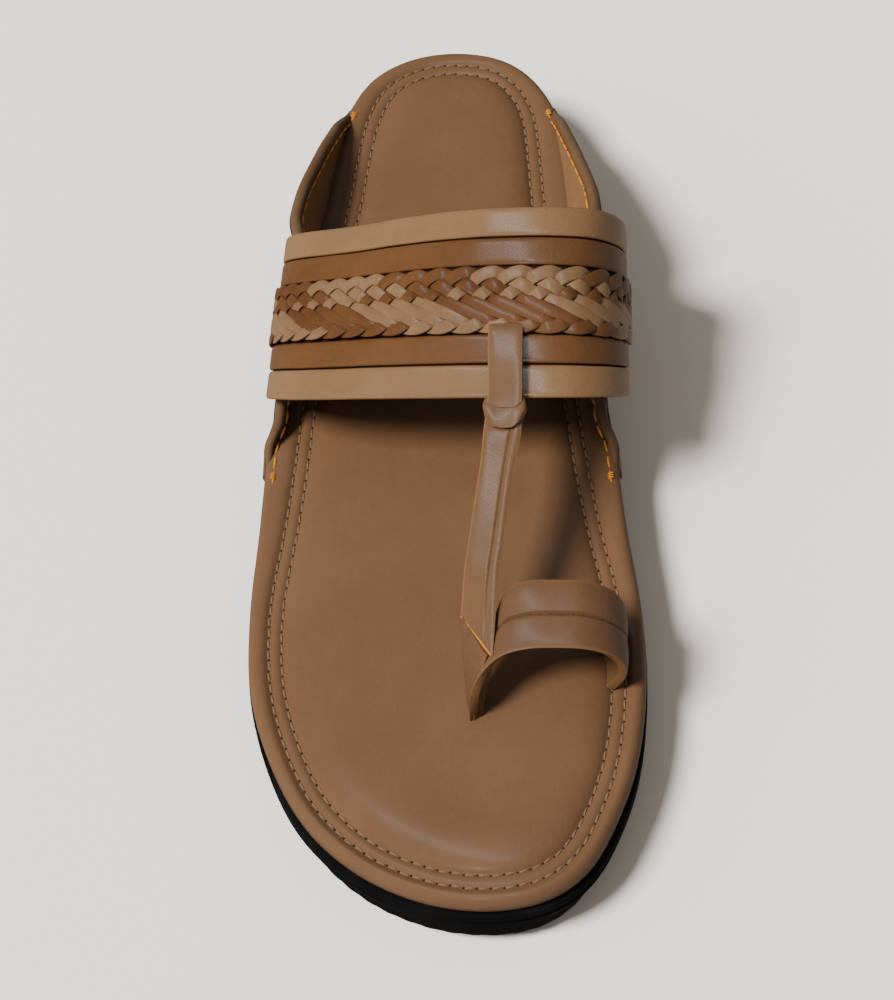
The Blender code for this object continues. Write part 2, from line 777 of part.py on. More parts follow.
def cut_sockets(footbed):
    """Pockets for the post and for the medial foot of the loop."""
    loop = loop_edges()
    post = post_edges()[-1]
    groups = (("post_socket", [*loop[0], *post]), ("loop_socket", [*loop[-1], *loop[-2]]))
    for name, points in groups:
        low = Vector([min(p[i] for p in points) for i in range(3)])
        high = Vector([max(p[i] for p in points) for i in range(3)])
        floor = low.z - GAP
        margin = LOOP_WALL * 1.35 + GAP
        top = high.z + BOARD_THICKNESS
        centre = ((low.x + high.x) / 2, (low.y + high.y) / 2, (floor + top) / 2)
        size = (high.x - low.x + 2 * margin, high.y - low.y + 2 * margin, top - floor)
        join_piece(footbed, socket_cutter(name, centre, size), "DIFFERENCE")


def build_keeper():
    """Keeper: two turns of narrow strip wound round the strap in front of the band."""
    start, forward, across, normal = strap_run()
    centre = start + forward * (KEEPER_STANDOFF + KEEPER_LENGTH / 2) - normal * STRAP_WALL / 2
    half_width = STRAP_WIDTH / 2 + GAP
    half_height = STRAP_WALL / 2 + GAP
    corner = KEEPER_WALL * 0.8

    def ring_points(grow, shift):
        """Rounded box around the strap, 12 points."""
        points = []
        for sx, sz in ((1, 1), (-1, 1), (-1, -1), (1, -1)):
            for k in range(3):
                turn = k / 2 * math.pi / 2
                first, second = math.cos(turn), math.sin(turn)
                if sx * sz < 0:
                    first, second = second, first
                x = sx * (half_width + max(0.0, grow - corner) + min(grow, corner) * first)
                z = sz * (half_height + max(0.0, grow - corner) + min(grow, corner) * second)
                points.append(centre + forward * shift + across * x + normal * z)
        return points

    half = KEEPER_LENGTH / 2
    edge = KEEPER_WALL * 0.5
    stations = [(-half, KEEPER_WALL * 0.6), (-half + edge, KEEPER_WALL), (-edge, KEEPER_WALL),
                (0.0, KEEPER_WALL * 0.55), (edge, KEEPER_WALL), (half - edge, KEEPER_WALL),
                (half, KEEPER_WALL * 0.6)]
    rings = [ring_points(grow, shift) for shift, grow in stations]
    lining = KEEPER_WALL * 0.1
    rings += [ring_points(lining, half), ring_points(lining, -half)]
    count = len(rings[0])
    vertices = [point for ring in rings for point in ring]
    faces = []
    for level in range(len(rings)):
        low = level * count
        high = (level + 1) % len(rings) * count
        for k in range(count):
            n = (k + 1) % count
            faces.append((low + k, low + n, high + n, high + k))
    return new_object("strap_keeper", (0.225, 0.130, 0.075), 0.42, vertices, faces)


def build():
    for old in list(bpy.data.objects):
        bpy.data.objects.remove(old, do_unlink=True)
    build_outsole()
    footbed = build_footbed()
    cut_sockets(footbed)
    build_flap("side_flap_lateral", medial=False)
    build_flap("side_flap_medial", medial=True)
    build_band()
    build_toe_strap()
    build_keeper()


build()
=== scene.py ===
"""Right kolhapuri sandal of brown leather on a black rubber sole, standing on a pale studio floor."""
import math

import bpy
from mathutils import Matrix, Vector


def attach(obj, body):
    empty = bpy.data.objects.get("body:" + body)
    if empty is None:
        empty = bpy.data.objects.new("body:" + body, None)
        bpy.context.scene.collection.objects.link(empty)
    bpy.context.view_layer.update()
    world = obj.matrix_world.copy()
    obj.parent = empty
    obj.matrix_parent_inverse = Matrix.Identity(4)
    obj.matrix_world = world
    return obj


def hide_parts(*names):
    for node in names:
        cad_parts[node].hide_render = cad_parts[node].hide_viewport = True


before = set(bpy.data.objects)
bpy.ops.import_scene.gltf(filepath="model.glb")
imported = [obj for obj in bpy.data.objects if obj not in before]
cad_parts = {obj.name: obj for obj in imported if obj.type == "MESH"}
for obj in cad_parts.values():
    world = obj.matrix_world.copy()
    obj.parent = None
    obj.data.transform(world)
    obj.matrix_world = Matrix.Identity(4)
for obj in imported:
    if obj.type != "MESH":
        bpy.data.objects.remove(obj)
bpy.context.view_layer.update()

# Camera and light. The sandal is seen from above its toe. Warm light falls from its outer side,
# high and low, a narrow cool lamp overhead leaves the bright stripe on the straps, and a small
# lamp in front leaves a soft gleam on the pad at the toe.
bpy.ops.object.camera_add(location=(0.0272, -0.3664, 0.5603),
                          rotation=[math.radians(turn) for turn in (32.783, 2.240, 1.103)])
bpy.context.scene.camera = bpy.context.object
bpy.context.object.data.lens = 86.52


def lamp(kind, name, place, towards, energy, colour=(1.0, 1.0, 1.0)):
    """A studio lamp at a place; towards is the way from what it lights back to the lamp."""
    bpy.ops.object.light_add(type=kind, location=place)
    made = bpy.context.object
    made.name = name
    made.data.energy = energy
    made.data.color = colour
    made.rotation_euler = Vector(towards).to_track_quat("Z", "Y").to_euler()
    return made


key = lamp("SUN", "outer_side_light", (-0.9, -0.35, 0.95), (-0.54, -0.22, 0.82), 7.0,
           (1.0, 0.94, 0.86))
key.data.angle = math.radians(17)
key.visible_glossy = False
side_lamp = lamp("AREA", "low_side_light", (-1.2, -0.25, 0.55), (-1.2, -0.25, 0.52), 4.0,
                 (1.0, 0.93, 0.84))
side_lamp.data.size = 0.8
side_lamp.visible_glossy = False
stripe = lamp("AREA", "stripe_light", (-0.09, -0.01, 1.25), (0, 0, 1), 6.5, (0.76, 0.89, 1.0))
stripe.data.shape = "RECTANGLE"
stripe.data.size, stripe.data.size_y = 0.06, 0.9
stripe.rotation_euler = (0, 0, math.radians(31.8))
stripe.visible_diffuse = False
front_lamp = lamp("AREA", "front_gloss_light", (-0.06, -0.75, 1.05), (-0.06, -0.62, 1.03), 3.0)
front_lamp.data.size = 0.16
front_lamp.visible_diffuse = False
studio = bpy.data.worlds.new("studio")
studio.use_nodes = True
studio.node_tree.nodes["Background"].inputs["Color"].default_value = (1.0, 0.89, 0.77, 1)
studio.node_tree.nodes["Background"].inputs["Strength"].default_value = 0.30
bpy.context.scene.world = studio


# Floor. Plain pale paper, larger than the view, only to stand the sandal on. Its finish is put
# together from values of the place on the piece, as all the finishes below are.
class Dye:
    """One value or colour of a finish, so that a finish is written as plain expressions."""

    def __init__(self, tree, socket):
        self.tree = tree
        self.socket = socket

    def node(self, kind, settings, values, output=0):
        made = self.tree.nodes.new("ShaderNode" + kind)
        for key, value in settings.items():
            setattr(made, key, value)
        for key, value in values.items():
            if isinstance(value, Dye):
                self.tree.links.new(value.socket, made.inputs[key])
            else:
                made.inputs[key].default_value = value
        return Dye(self.tree, made.outputs[output])

    def maths(self, operation, first, second):
        return self.node("Math", {"operation": operation}, {0: first, 1: second})

    def __add__(self, other):
        return self.maths("ADD", self, other)

    def __sub__(self, other):
        return self.maths("SUBTRACT", self, other)

    def __mul__(self, other):
        return self.maths("MULTIPLY", self, other)

    def __abs__(self):
        return self.node("Math", {"operation": "ABSOLUTE"}, {0: self})

    __radd__ = __add__
    __rmul__ = __mul__

    def eased(self, low, high, start=0.0, end=1.0):
        return self.node("MapRange", {"interpolation_type": "SMOOTHSTEP"},
                         {"Value": self, "From Min": low, "From Max": high,
                          "To Min": start, "To Max": end})

    def between(self, first, second):
        colours = [c if isinstance(c, Dye) else (*c, 1.0) for c in (first, second)]
        return self.node("Mix", {"data_type": "RGBA"},
                         {0: self, 6: colours[0], 7: colours[1]}, 2)


def blank_finish(name):
    """A new material with its surface shader, its places on the object and on its own map."""
    finish = bpy.data.materials.new(name)
    finish.use_nodes = True
    tree = finish.node_tree
    surface = tree.nodes["Principled BSDF"]
    places = tree.nodes.new("ShaderNodeTexCoord")
    return finish, surface, Dye(tree, places.outputs["Object"]), Dye(tree, places.outputs["UV"])


def dress(surface, colour, rough, height, depth, coat=0.0, gleam=0.5):
    """Joins colour, roughness and a relief of the given depth in metres to the surface shader."""
    tree = colour.tree
    relief = colour.node("Bump", {}, {"Height": height, "Distance": depth, "Strength": 1.0})
    for value, socket in ((colour, "Base Color"), (rough, "Roughness"), (relief, "Normal")):
        tree.links.new(value.socket, surface.inputs[socket])
    surface.inputs["Coat Weight"].default_value = coat
    surface.inputs["Coat Roughness"].default_value = 0.3
    surface.inputs["Specular IOR Level"].default_value = gleam


bpy.ops.mesh.primitive_plane_add(size=6.0)
floor = bpy.context.object
floor.name = "studio_floor"
paper, surface, place, _ = blank_finish("pale_paper")
tooth = place.node("TexNoise", {}, {"Vector": place, "Scale": 900.0, "Detail": 2.0})
dress(surface, tooth.between((0.86, 0.86, 0.86), (0.90, 0.90, 0.895)), tooth * 0.1 + 0.8,
      tooth, 0.00005)
floor.data.materials.append(paper)
floor.visible_glossy = False

# Outsole. One moulding of black rubber under the whole foot: flat heel and forefoot, a lifted
# arch, a sprung toe, a groove round its side and shallow ribs below it.
HALF_LENGTH = 0.1366
HALF_WIDTH = 0.0521
FOREFOOT_THICKNESS = 0.0140
HEEL_RISE = 0.0085
TOE_RISE = 0.0015
TOE_SPRING = 0.0036
ARCH_LIFT = 0.0070
SIDE_DRAFT = 0.0030
GAP = 0.0003
# Half widths of the big toe side and of the outer side, from toe to heel.
OUTLINE = [(0.20, 0.20), (-0.12, 0.49), (-0.425, 0.70), (-0.68, 0.84), (-0.855, 0.945),
           (-0.97, 0.99), (-1.00, 0.98), (-0.98, 0.915), (-0.96, 0.86), (-0.915, 0.785),
           (-0.83, 0.71), (-0.755, 0.665), (-0.70, 0.625), (-0.62, 0.56), (-0.49, 0.43),
           (-0.28, 0.24), (-0.02, -0.02)]
SPRING_START, FOREFOOT_END, BREAST_TOP, BREAST_FOOT = -0.60, -0.28, 0.41, 0.455
ROUND_THE_SOLE = [row[0] for row in OUTLINE] + [row[1] for row in OUTLINE[-2:0:-1]]


def eased(value, start, end):
    share = min(1.0, max(0.0, (value - start) / (end - start)))
    return share * share * (3 - 2 * share)


def curve_through(four, t):
    a, b, c, d = four
    return 0.5 * (2 * b + (c - a) * t + (2 * a - 5 * b + 4 * c - d) * t * t
                  + (3 * b - a - 3 * c + d) * t ** 3)


def along_rows(rows, place):
    """The rows' values at a place from 0 to 1, on a smooth curve through them."""
    step = min(max(place, 0.0), 1.0) * (len(rows) - 1)
    index = min(int(step), len(rows) - 2)
    four = [rows[min(max(index + k, 0), len(rows) - 1)] for k in (-1, 0, 1, 2)]
    return [curve_through(values, step - index) for values in zip(*four)]


def sole_edge(turn, inset=0.0):
    """The sole's outline: turn 0 at the toe, 1 at the heel, 2 back at the toe."""
    def raw(turn):
        step = (turn % 2.0) / 2.0 * len(ROUND_THE_SOLE)
        four = [ROUND_THE_SOLE[(int(step) + k) % len(ROUND_THE_SOLE)] for k in (-1, 0, 1, 2)]
        return Vector((HALF_WIDTH * curve_through(four, step - int(step)),
                       -HALF_LENGTH * math.cos(math.pi * turn), 0.0))
    if not inset:
        return raw(turn)
    slope = raw(turn + 0.004) - raw(turn - 0.004)
    return raw(turn) + Vector((slope.y, -slope.x, 0.0)).normalized() * inset


def turn_at(share):
    """Turn on the lateral side at a share of half the length from the middle."""
    return math.acos(-max(-1.0, min(1.0, share))) / math.pi


def sole_top(y):
    """Height of the rubber's top: it rises to the heel and a little at the toe."""
    share = y / HALF_LENGTH
    toe = max(0.0, (-0.44 - share) / 0.56)
    return FOREFOOT_THICKNESS + HEEL_RISE * eased(share, -0.40, 0.70) + TOE_RISE * toe * toe


def sole_bottom(y):
    """Height of the tread: the sprung toe, the forefoot, the arch, the heel's breast, the heel."""
    share = y / HALF_LENGTH
    if share < SPRING_START:
        return TOE_SPRING * ((SPRING_START - share) / (1 + SPRING_START)) ** 2
    if FOREFOOT_END < share <= BREAST_TOP:
        return ARCH_LIFT * (share - FOREFOOT_END) / (BREAST_TOP - FOREFOOT_END)
    if BREAST_TOP < share < BREAST_FOOT:
        return ARCH_LIFT * (BREAST_FOOT - share) / (BREAST_FOOT - BREAST_TOP)
    return 0.0


def laid_sheet(name, columns, rows, place, closed=False):
    """A primitive grid whose corners are then laid where the piece's surface runs."""
    bpy.ops.object.select_all(action="DESELECT")
    bpy.ops.mesh.primitive_grid_add(x_subdivisions=columns, y_subdivisions=rows, size=1,
                                    calc_uvs=True)
    piece = bpy.context.object
    piece.name = name
    piece.data.name = name
    for corner in piece.data.vertices:
        corner.co = place(corner.co.x + 0.5, corner.co.y + 0.5)
    if closed:
        bpy.ops.object.mode_set(mode="EDIT")
        bpy.ops.mesh.select_all(action="SELECT")
        bpy.ops.mesh.remove_doubles(threshold=0.00002)
        bpy.ops.mesh.normals_make_consistent(inside=False)
        bpy.ops.object.mode_set(mode="OBJECT")
    return piece


def finished(piece, finish, nodes=(), wall=0.0, edge=0.0, angle=50):
    """Gives a sheet its thickness and eased edges, its finish and its place in the frame."""
    bpy.ops.object.select_all(action="DESELECT")
    piece.select_set(True)
    bpy.context.view_layer.objects.active = piece
    if wall:
        thick = piece.modifiers.new("wall", "SOLIDIFY")
        thick.thickness = wall
        thick.offset = -1.0
        bpy.ops.object.modifier_apply(modifier=thick.name)
    if edge:
        ease = piece.modifiers.new("edge", "BEVEL")
        ease.width = edge
        ease.segments = 2
        ease.limit_method = "ANGLE"
        ease.angle_limit = math.radians(50)
        bpy.ops.object.modifier_apply(modifier=ease.name)
    bpy.ops.object.shade_smooth_by_angle(angle=math.radians(angle))
    piece.data.materials.clear()
    piece.data.materials.append(finish)
    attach(piece, "root")
    if nodes:
        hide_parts(*nodes)
    return piece


def running_length(points):
    """Length of the way along points, up to each of them."""
    total = [0.0]
    for a, b in zip(points, points[1:]):
        total.append(total[-1] + (b - a).length)
    return total


SOLE_LEVELS = [  # inset, height from the bottom edge or down from the top, side, ribs
    (0.0300, 0.0, "bottom", 0), (0.0120, 0.0, "bottom", 0), (0.0060, 0.0, "bottom", 0),
    (0.0018, 0.0, "bottom", 0.4), (0.0008, 0.0004, "bottom", 0.8), (0.0002, 0.0010, "bottom", 1),
    (0.0, 0.0018, "bottom", 1), (0.0, 0.0030, "bottom", 1), (0.0, 0.0042, "bottom", 0.7),
    (0.0, 0.0050, "bottom", 0), (0.0, -0.0041, "top", 0), (0.0003, -0.0038, "top", 0),
    (0.0008, -0.0036, "top", 0), (0.0008, -0.0027, "top", 0), (0.0003, -0.0025, "top", 0),
    (0.0, -0.0022, "top", 0), (0.0, -0.0006, "top", 0), (0.0003, -0.0001, "top", 0),
    (0.0008, 0.0, "top", 0), (0.0120, 0.0, "top", 0), (0.0300, 0.0, "top", 0)]
RIB_PITCH = 0.0060
RIB_DEPTH = 0.00008
MIDDLE_INSET = 0.025
WAY_STEPS = 1200
SOLE_WAY = running_length([sole_edge(2 * k / WAY_STEPS) for k in range(WAY_STEPS + 1)])


def middle_point(turn, pull):
    """A point of the sole's middle line, pulled in from the toe or heel."""
    edge = sole_edge(turn)
    return Vector(((edge.x + sole_edge(2 - turn).x) / 2, edge.y * pull, 0.0))


def sole_place(turn_share, level_share):
    turn = 2 * turn_share
    inset, height, side, ribs = SOLE_LEVELS[round(level_share * (len(SOLE_LEVELS) - 1))]
    in_middle = inset > MIDDLE_INSET
    way = SOLE_WAY[min(round(turn_share * WAY_STEPS), WAY_STEPS)]
    count = round(SOLE_WAY[-1] / RIB_PITCH)
    wave = math.cos(2 * math.pi * count * way / SOLE_WAY[-1])
    inset += RIB_DEPTH * ribs * (1 + wave)
    point = middle_point(turn, 0.8) if in_middle else sole_edge(turn, inset)
    y = point.y if in_middle else sole_edge(turn).y
    if side == "top":
        point.z = sole_top(y) + height
        return point
    if not in_middle:
        point.x += (sole_edge(turn, SIDE_DRAFT) - sole_edge(turn)).x
    point.z = sole_bottom(y) + height
    return point


rubber, surface, place, _ = blank_finish("black_rubber")
speck = place.node("TexNoise", {}, {"Vector": place, "Scale": 1400.0, "Detail": 3.0})
dust = place.node("TexNoise", {}, {"Vector": place, "Scale": 60.0, "Detail": 4.0}).eased(0.4, 0.75)
dress(surface, dust.between((0.0030, 0.0032, 0.0038), (0.0060, 0.0064, 0.0072)),
      speck * 0.15 + 0.55, speck, 0.00008, 0.0, 0.05)
outsole = laid_sheet("rubber_outsole", 960, len(SOLE_LEVELS) - 1, sole_place, closed=True)
finished(outsole, rubber, ("outsole",), angle=40)


# Footbed. A board covered with smooth brown leather, its rim rolled over a cord and its pad of
# thin foam held down by two rows of stitches.
BOARD = 0.0055
PAD_HEIGHT = 0.0070
TOE_ROOM = 0.0010
BAND_ROOM = 0.0023
ROOM_RAMP = 0.075
BAND_FRONT_FOOT = 0.120
BAND_REAR_FOOT = 0.466
FRONT_LEAN = 0.72
FOOTBED_LEVELS = [  # inset, height above the sole, in millimetres
    (9.0, 0.0), (1.3, 0.0), (0.4, 0.3), (0.0, 1.1), (0.0, 2.6), (0.15, 3.6), (0.6, 4.6),
    (1.3, 5.25), (2.1, 5.55), (2.9, 5.6), (3.7, 5.5), (4.4, 5.2), (4.9, 4.85), (5.3, 4.6),
    (5.6, 4.6), (6.0, 4.85), (6.7, 5.05), (7.6, 5.05), (8.3, 4.85), (8.7, 4.6), (9.0, 4.6),
    (9.4, 5.0), (10.2, 5.5), (11.5, 6.1), (13.5, 6.6), (16.0, 6.9), (19.0, 7.0)]
FOOTBED_CENTRE = [0.35, 0.7, 1.0]


def window(share, start, end, ramp):
    """One between start and end and nought outside them, eased over a ramp."""
    return eased(share, start, start + ramp) * (1 - eased(share, end - ramp, end))


def band_room(y):
    """How far the edge draws in for the band's feet, whose front ones lean forward."""
    front = BAND_FRONT_FOOT - FRONT_LEAN * BOARD * 1.6 / HALF_LENGTH
    return BAND_ROOM * window(y / HALF_LENGTH, front - ROOM_RAMP, BAND_REAR_FOOT + ROOM_RAMP,
                              ROOM_RAMP)


def footbed_edge(turn, inset):
    """The rim draws in at the toe and for the band's feet; the seams keep a wider sweep."""
    y = sole_edge(turn).y
    room = band_room(y) + TOE_ROOM * eased(-y / HALF_LENGTH, 0.50, 0.85)
    sweep = 0.0030 * window(y / HALF_LENGTH, -0.45, 1.05, 0.45)
    return sole_edge(turn, GAP + inset + room + (sweep - room) * eased(inset, 0.0015, 0.0045))


def footbed_place(turn_share, level_share):
    turn = 2 * turn_share
    y = sole_edge(turn).y
    level = round(level_share * (len(FOOTBED_LEVELS) + len(FOOTBED_CENTRE)))
    if level == 0:
        point = middle_point(turn, 0.85)
        point.z = sole_top(point.y) + GAP
    elif level <= len(FOOTBED_LEVELS):
        inset, height = FOOTBED_LEVELS[level - 1]
        point = footbed_edge(turn, inset / 1000)
        point.z = sole_top(y) + GAP + height / 1000
    else:
        share = FOOTBED_CENTRE[level - len(FOOTBED_LEVELS) - 1]
        point = footbed_edge(turn, FOOTBED_LEVELS[-1][0] / 1000).lerp(middle_point(turn, 0.80), share)
        point.z = sole_top(y + (point.y - y) * share) + GAP + PAD_HEIGHT
    return point


GRAIN_DEPTH = 0.00011
LEATHER_GLEAM = 0.17


def leather(name, colour, shade, rough=0.45, coat=0.1, edge_tone_and_shade=None, faces=1.0, edge=0.44):
    """Smooth dyed leather: cloudy dye, fine pores, and an edge tone: the edges' own on most
    pieces, painted shade where the braid's strands meet.

    Coat is the share of polish; above a quarter it cracks into fine wrinkles. Faces counts how
    many times the piece's own map crosses the leather from edge to edge.
    """
    finish, surface, place, mapped = blank_finish(name)
    cloud = place.node("TexNoise", {}, {"Vector": place, "Scale": 38.0, "Detail": 4.0,
                                        "Roughness": 0.6})
    mottle = place.node("TexNoise", {}, {"Vector": place, "Scale": 420.0, "Detail": 3.0})
    pores = place.node("TexVoronoi", {"feature": "F1"}, {"Vector": place, "Scale": 1500.0})
    crease = place.node("TexNoise", {"noise_type": "RIDGED_MULTIFRACTAL"},
                        {"Vector": place, "Scale": 150.0, "Detail": 4.0})
    colour = (cloud * 0.75 + mottle * 0.25).eased(0.30, 0.72).between(shade, colour)
    if edge_tone_and_shade:
        across = mapped.node("SeparateXYZ", {}, {"Vector": mapped}) * faces
        across = abs(across.maths("FRACT", across, 0.0) - 0.5)
        colour = across.eased(edge, 0.5).between(colour, edge_tone_and_shade)
    wrinkle = place.node("Mapping", {}, {"Vector": place, "Scale": (0.5, 1.0, 1.0)})
    wrinkle = place.node("TexVoronoi", {"feature": "DISTANCE_TO_EDGE"},
                         {"Vector": wrinkle, "Scale": 1150.0}).eased(0.0, 0.15)
    dress(surface, colour, cloud * 0.14 + (rough - 0.03) + mottle * 0.08,
          pores * 0.3 + mottle * 0.4 + crease * 0.2 + wrinkle * max(0.0, coat - 0.25),
          GRAIN_DEPTH, coat, LEATHER_GLEAM)
    surface.inputs["Coat Roughness"].default_value = 0.23
    surface.inputs["Coat IOR"].default_value = 1.35
    return finish


pad_leather = leather("footbed_leather", (0.114, 0.063, 0.0335), (0.099, 0.053, 0.0275), 0.46, 0.22)
footbed = laid_sheet("leather_footbed", 720, len(FOOTBED_LEVELS) + len(FOOTBED_CENTRE),
                     footbed_place, closed=True)
finished(footbed, pad_leather, ("footbed",), angle=60)

# Footbed stitches. Two rows of tan thread in the valley between rim and pad, each stitch sunk
# at both ends in its needle hole; the holes are small near-black blobs of painted shade.
STITCH_PITCH = 0.0033
STITCH_LENGTH = 0.0027
SEAM_INSETS = (0.00545, 0.00885)
SEAM_HEIGHT = 0.0046


def thread_finish(name, dark, light, rough):
    """Twisted thread: its colour follows its relief, painted shade in its turns and painted light on
    them.
    """
    finish, surface, place, _ = blank_finish(name)
    twist = place.node("TexNoise", {}, {"Vector": place, "Scale": 2600.0, "Detail": 2.0})
    dress(surface, twist.between(dark, light), twist * 0.1 + rough, twist, 0.0001)
    return finish


thread = thread_finish("tan_thread", (0.10, 0.062, 0.034), (0.18, 0.12, 0.072), 0.6)
# Near-black finish: painted shade for the needle holes, and the dark thread of the toe loop's seam.
hole_shade_and_dark_thread, surface, place, _ = blank_finish("dark_thread_and_painted_hole_shade")
hole_mottle = place.node("TexNoise", {}, {"Vector": place, "Scale": 900.0})
dress(surface, hole_mottle.between((0.020, 0.009, 0.004), (0.036, 0.017, 0.008)), hole_mottle * 0.1 + 0.8,
      hole_mottle, 0.00002)


def stitch_form(length, thick):
    """One stitch: a sphere drawn out and bent down at its ends."""
    bpy.ops.object.select_all(action="DESELECT")
    bpy.ops.mesh.primitive_uv_sphere_add(segments=6, ring_count=6, radius=1.0,
                                         rotation=(0, math.pi / 2, 0))
    form = bpy.context.object
    bpy.ops.object.transform_apply(location=False, rotation=True, scale=False)
    corners = []
    for corner in form.data.vertices:
        x, y, z = corner.co
        x = math.copysign(abs(x) ** 0.7, x)
        corners.append(Vector((x * length / 2, y * thick / 2,
                               z * thick / 2 - thick * 0.55 * x * x)))
    faces = [tuple(face.vertices) for face in form.data.polygons]
    bpy.data.objects.remove(form)
    return corners, faces


def sewn(name, form, places, finish):
    """Copies of one small form, each turned to its place, joined as one piece."""
    corners, faces = form
    all_corners = []
    all_faces = []
    for at, ahead, up in places:
        side = up.cross(ahead).normalized()
        turned = Matrix((ahead, side, up)).transposed()
        start = len(all_corners)
        all_corners += [at + turned @ corner for corner in corners]
        all_faces += [tuple(start + k for k in face) for face in faces]
    mesh = bpy.data.meshes.new(name)
    mesh.from_pydata(all_corners, [], all_faces)
    piece = bpy.data.objects.new(name, mesh)
    bpy.context.scene.collection.objects.link(piece)
    return finished(piece, finish)


def evenly(points, pitch, closed=False):
    """Places at an even pitch along a run of points, with the way ahead."""
    total = running_length(points)
    count = max(1, round(total[-1] / pitch))
    places = []
    k = 0
    for n in range(count if closed else count + 1):
        goal = total[-1] * n / count
        while k < len(total) - 2 and total[k + 1] < goal:
            k += 1
        share = (goal - total[k]) / max(total[k + 1] - total[k], 1e-9)
        places.append((points[k].lerp(points[k + 1], share),
                       (points[k + 1] - points[k]).normalized()))
    return places


UP = Vector((0, 0, 1))
stitches = []
holes = []
for inset in SEAM_INSETS:
    run = []
    for k in range(901):
        turn = 2 * k / 900
        point = footbed_edge(turn, inset)
        point.z = sole_top(sole_edge(turn).y) + GAP + SEAM_HEIGHT
        run.append(point)
    for n, (at, ahead) in enumerate(evenly(run, STITCH_PITCH, closed=True)):
        sway = 0.00012 * math.sin(n * 2.4)
        side = UP.cross(ahead).normalized()
        stitches.append((at + side * sway + UP * 0.00018, (ahead + side * 0.06).normalized(), UP))
        holes.append((at + ahead * STITCH_PITCH / 2 + side * sway, ahead, UP))
sewn("footbed_stitches", stitch_form(STITCH_LENGTH, 0.00062), stitches, thread)
# Small near-black blobs between the stitches: painted shade in the needle holes.
sewn("needle_hole_painted_shade", stitch_form(0.0009, 0.0008), holes, hole_shade_and_dark_thread)


# Side flaps. Soft leather walls that rise from the sole's edge behind and before the band, their
# tops rolled outwards with a thin black cord along the outer face just under the roll, and a
# yellowish lining sewn in by one row of amber thread that ends in tacks.
FLAP_WALL = 0.0018
FLAP_HEIGHT = 0.0160
FLAP_SINK = 0.0024
RIM_TOP = 0.0057
ROLL_RADIUS = 0.00165
PAINT_RADIUS = 0.00055
LINING_WALL = 0.0004
AMBER_INSET = 0.0031
AMBER_PITCH = 0.0046
TACK_PITCH = 0.00065
# Height as a share of the full one, and how far each side leans outwards, from front to rear.
FLAP_ROWS = [(0.00, 0.00, -0.05), (0.40, 0.04, -0.05), (0.74, 0.12, -0.12), (0.95, 0.22, 0.03),
             (1.00, 0.28, 0.13), (1.00, 0.30, 0.17), (0.76, 0.20, 0.11), (0.38, 0.08, 0.03),
             (0.00, 0.00, 0.00)]
FLAP_START = -0.074
FLAP_END = 0.843


def flap_point(medial, along, up, inset):
    """A point of a flap: along from front to rear, up from foot to top, inset from its face."""
    share = FLAP_START + (FLAP_END - FLAP_START) * along
    turn = turn_at(share)
    turn = 2 - turn if medial else turn
    y = sole_edge(turn).y
    height, lean_medial, lean_lateral = along_rows(FLAP_ROWS, along)
    tall = BOARD + FLAP_HEIGHT * height
    tall -= FLAP_SINK * (1 - eased(along, 0.0, 0.12) * (1 - eased(along, 0.88, 1.0)))
    rise = tall * up
    point = sole_edge(turn, band_room(y + 0.6 * rise) + inset)
    lean = lean_medial if medial else -lean_lateral
    point.x += lean * max(0.0, rise - BOARD)
    point.z = sole_top(y) + GAP + rise
    return point


flap_leather = leather("flap_leather", (0.100, 0.060, 0.034), (0.074, 0.041, 0.022), 0.48, 0.03)
lining_leather = leather("flap_lining", (0.190, 0.112, 0.055), (0.150, 0.084, 0.038), 0.62, 0.0)
amber = thread_finish("amber_thread", (0.36, 0.12, 0.006), (0.60, 0.23, 0.014), 0.55)
# A near-black finish for the thin cord under each flap's rolled top.
black_edge, surface, place, _ = blank_finish("black_edge_line")
grain = place.node("TexNoise", {}, {"Vector": place, "Scale": 800.0})
dress(surface, grain.between((0.004, 0.004, 0.004), (0.008, 0.008, 0.008)), grain * 0.1 + 0.5,
      grain, 0.00004, 0.0, 0.2)


def drawn_cord(name, points, radius, finish, sides=10):
    """A round cord through points, from a grid rolled round them; its ends are thin and closed."""
    count = len(points) - 1

    def place(round_share, share):
        n = min(int(share * count), count - 1)
        at = points[n].lerp(points[n + 1], share * count - n)
        ahead = (points[min(n + 2, count)] - points[max(n - 1, 0)]).normalized()
        side = ahead.cross(UP).normalized()
        over = side.cross(ahead)
        angle = 2 * math.pi * round_share
        thin = 0.0 if share in (0.0, 1.0) else radius * (1 - 0.7 * (2 * share - 1) ** 8)
        return at + (side * math.cos(angle) + over * math.sin(angle)) * thin

    piece = laid_sheet(name, sides, count, place, closed=True)
    return finished(piece, finish, angle=70)


